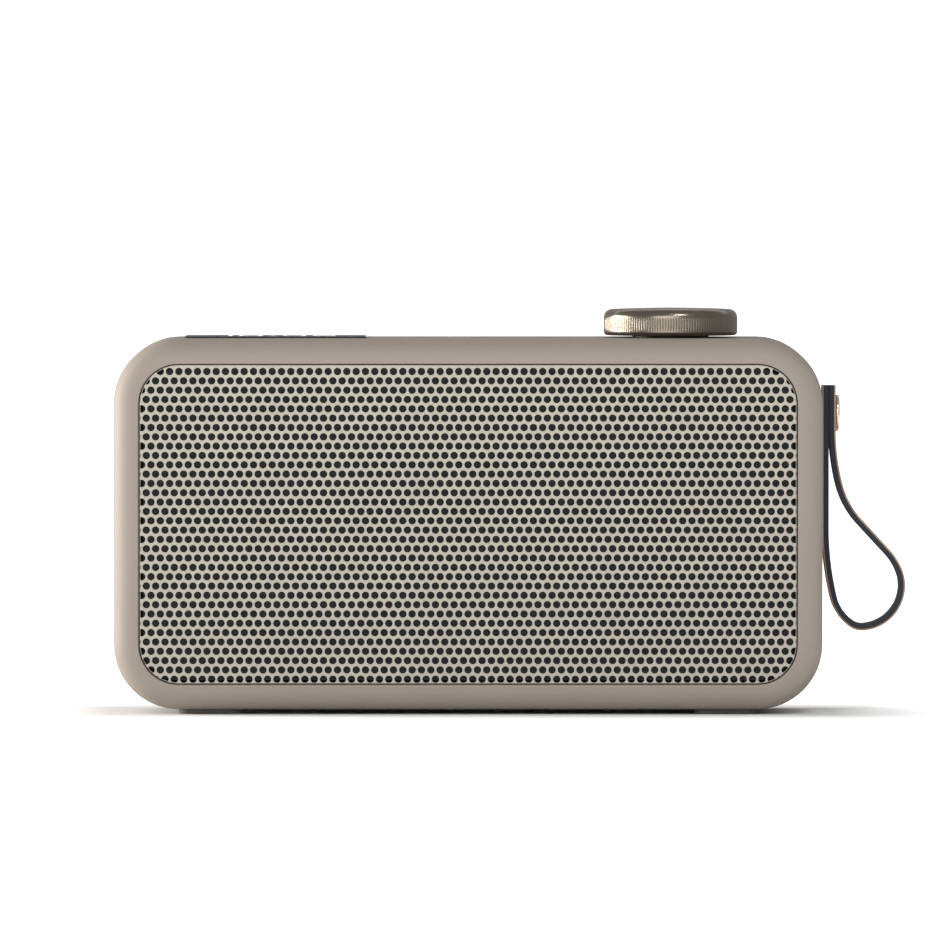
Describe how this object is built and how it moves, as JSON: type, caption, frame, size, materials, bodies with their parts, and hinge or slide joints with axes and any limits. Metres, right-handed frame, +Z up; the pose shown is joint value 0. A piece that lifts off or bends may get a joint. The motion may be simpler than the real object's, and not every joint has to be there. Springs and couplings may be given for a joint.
{
  "type": "portable radio",
  "caption": "Portable table radio: a rounded soft-touch body with a perforated metal front, a turning knob, keys and display on top, and a leather wrist strap.",
  "frame": {"origin": "on the floor under the middle of the body, where the feet stand", "axes": "+X to the right seen from the front, +Y to the back, +Z up"},
  "size_m": [0.2241, 0.0583, 0.1147],
  "materials": {
    "soft_shell": "soft-touch matte beige",
    "screws": "black zinc",
    "grille_metal": "satin pale champagne",
    "cloth": "black woven",
    "baffle_board": "matte",
    "basket_steel": "satin black",
    "magnet": "dull",
    "yoke_steel": "zinc",
    "cone_paper": "pressed paper",
    "dust_cap": "satin",
    "coil_copper": "enamelled copper wire",
    "roll_rubber": "matte",
    "radiator_frame": "matte",
    "radiator_plate": "satin",
    "display_glass": "polished black",
    "display_module": "gloss",
    "keys": "soft-touch matte beige",
    "switches": "matte",
    "board": "green solder mask",
    "encoder_metal": "stamped",
    "encoder_hub": "moulded",
    "collar": "dark satin",
    "knob_metal": "fine-knurled satin champagne",
    "shaft_steel": "ground",
    "tuner_can": "tinned",
    "sockets": "plated",
    "line_socket": "moulded",
    "power_button": "soft-touch matte",
    "cells": "shrink sleeve",
    "cradle": "moulded",
    "aerial_chrome": "polished",
    "strap_leather": "tan outside, near-black edges and lining",
    "foot_rubber": "matte dark grey"
  },
  "bodies": {
    "body": {"front_housing": "soft_shell", "rear_cover": "soft_shell", "rear_cover_screws": "screws", "front_grille": "grille_metal", "grille_cloth": "cloth", "baffle": "baffle_board", "baffle_screws": "screws", "speaker_screws": "screws", "left_basket": "basket_steel", "left_magnet": "magnet", "left_yoke": "yoke_steel", "right_basket": "basket_steel", "right_magnet": "magnet", "right_yoke": "yoke_steel", "radiator_frame": "radiator_frame", "display_glass": "display_glass", "display_module": "display_module", "key_switches": "switches", "upper_board": "board", "upper_board_screws": "screws", "encoder_body": "encoder_metal", "encoder_collar": "collar", "main_board": "board", "tuner_can": "tuner_can", "usb_socket": "sockets", "line_socket": "line_socket", "power_switch": "switches", "battery_cells": "cells", "battery_cradle": "cradle", "strap_stud": "knob_metal", "strap_nut": "yoke_steel", "foot_front_left": "foot_rubber", "foot_front_right": "foot_rubber", "foot_rear_left": "foot_rubber", "foot_rear_right": "foot_rubber", "left_surround": "roll_rubber", "right_surround": "roll_rubber", "radiator_surround": "roll_rubber"},
    "left_cone": {"left_cone": "cone_paper", "left_coil": "coil_copper", "left_dust_cap": "dust_cap"},
    "right_cone": {"right_cone": "cone_paper", "right_coil": "coil_copper", "right_dust_cap": "dust_cap"},
    "radiator_plate": {"radiator_plate": "radiator_plate"},
    "key_left": {"key_left": "keys"},
    "key_centre": {"key_centre": "keys"},
    "key_right": {"key_right": "keys"},
    "encoder_hub": {"encoder_hub": "encoder_hub"},
    "knob": {"knob": "knob_metal", "encoder_shaft": "shaft_steel"},
    "power_button": {"power_button": "power_button"},
    "aerial_foot": {"aerial_foot": "aerial_chrome", "aerial_pin": "shaft_steel"},
    "aerial_section_1": {"aerial_knuckle": "aerial_chrome", "aerial_section_1": "aerial_chrome"},
    "aerial_section_2": {"aerial_section_2": "aerial_chrome"},
    "aerial_section_3": {"aerial_section_3": "aerial_chrome"},
    "aerial_section_4": {"aerial_section_4": "aerial_chrome"},
    "strap": {"strap": "strap_leather"}
  },
  "joints": [
    {"name": "left_cone_stroke", "type": "slide", "parent": "body", "child": "left_cone", "axis": [0, 1, 0], "range_m": [-0.0005, 0.0005], "stiffness_N_per_m": 2000},
    {"name": "right_cone_stroke", "type": "slide", "parent": "body", "child": "right_cone", "axis": [0, 1, 0], "range_m": [-0.0005, 0.0005], "stiffness_N_per_m": 2000},
    {"name": "radiator_stroke", "type": "slide", "parent": "body", "child": "radiator_plate", "axis": [0, 1, 0], "range_m": [-0.0005, 0.0005], "stiffness_N_per_m": 2000},
    {"name": "key_left_press", "type": "slide", "parent": "body", "child": "key_left", "axis": [0, 0, -1], "range_m": [0, 0.0004], "stiffness_N_per_m": 500},
    {"name": "key_centre_press", "type": "slide", "parent": "body", "child": "key_centre", "axis": [0, 0, -1], "range_m": [0, 0.0004], "stiffness_N_per_m": 500},
    {"name": "key_right_press", "type": "slide", "parent": "body", "child": "key_right", "axis": [0, 0, -1], "range_m": [0, 0.0004], "stiffness_N_per_m": 500},
    {"name": "knob_turn", "type": "hinge", "parent": "body", "child": "encoder_hub", "pos_m": [0.05745, 0, 0.1], "axis": [0, 0, 1], "continuous": true},
    {"name": "knob_press", "type": "slide", "parent": "encoder_hub", "child": "knob", "axis": [0, 0, -1], "range_m": [0, 0.0005], "stiffness_N_per_m": 900},
    {"name": "power_press", "type": "slide", "parent": "body", "child": "power_button", "axis": [0, -1, 0], "range_m": [0, 0.0004], "stiffness_N_per_m": 500},
    {"name": "aerial_swivel", "type": "hinge", "parent": "body", "child": "aerial_foot", "pos_m": [0.08, 0.025, 0.1022], "axis": [0, 0, 1], "range_deg": [-180, 0]},
    {"name": "aerial_elbow", "type": "hinge", "parent": "aerial_foot", "child": "aerial_section_1", "pos_m": [0.08, 0.025, 0.1022], "axis": [0, 1, 0], "range_deg": [0, 90]},
    {"name": "aerial_pull_2", "type": "slide", "parent": "aerial_section_1", "child": "aerial_section_2", "axis": [-1, 0, 0], "range_m": [0, 0.12]},
    {"name": "aerial_pull_3", "type": "slide", "parent": "aerial_section_2", "child": "aerial_section_3", "axis": [-1, 0, 0], "range_m": [0, 0.12]},
    {"name": "aerial_pull_4", "type": "slide", "parent": "aerial_section_3", "child": "aerial_section_4", "axis": [-1, 0, 0], "range_m": [0, 0.12]},
    {"name": "strap_swing", "type": "hinge", "parent": "body", "child": "strap", "pos_m": [0.1002, 0, 0.0847], "axis": [1, 0, 0], "range_deg": [-150, 150]}
  ]
}
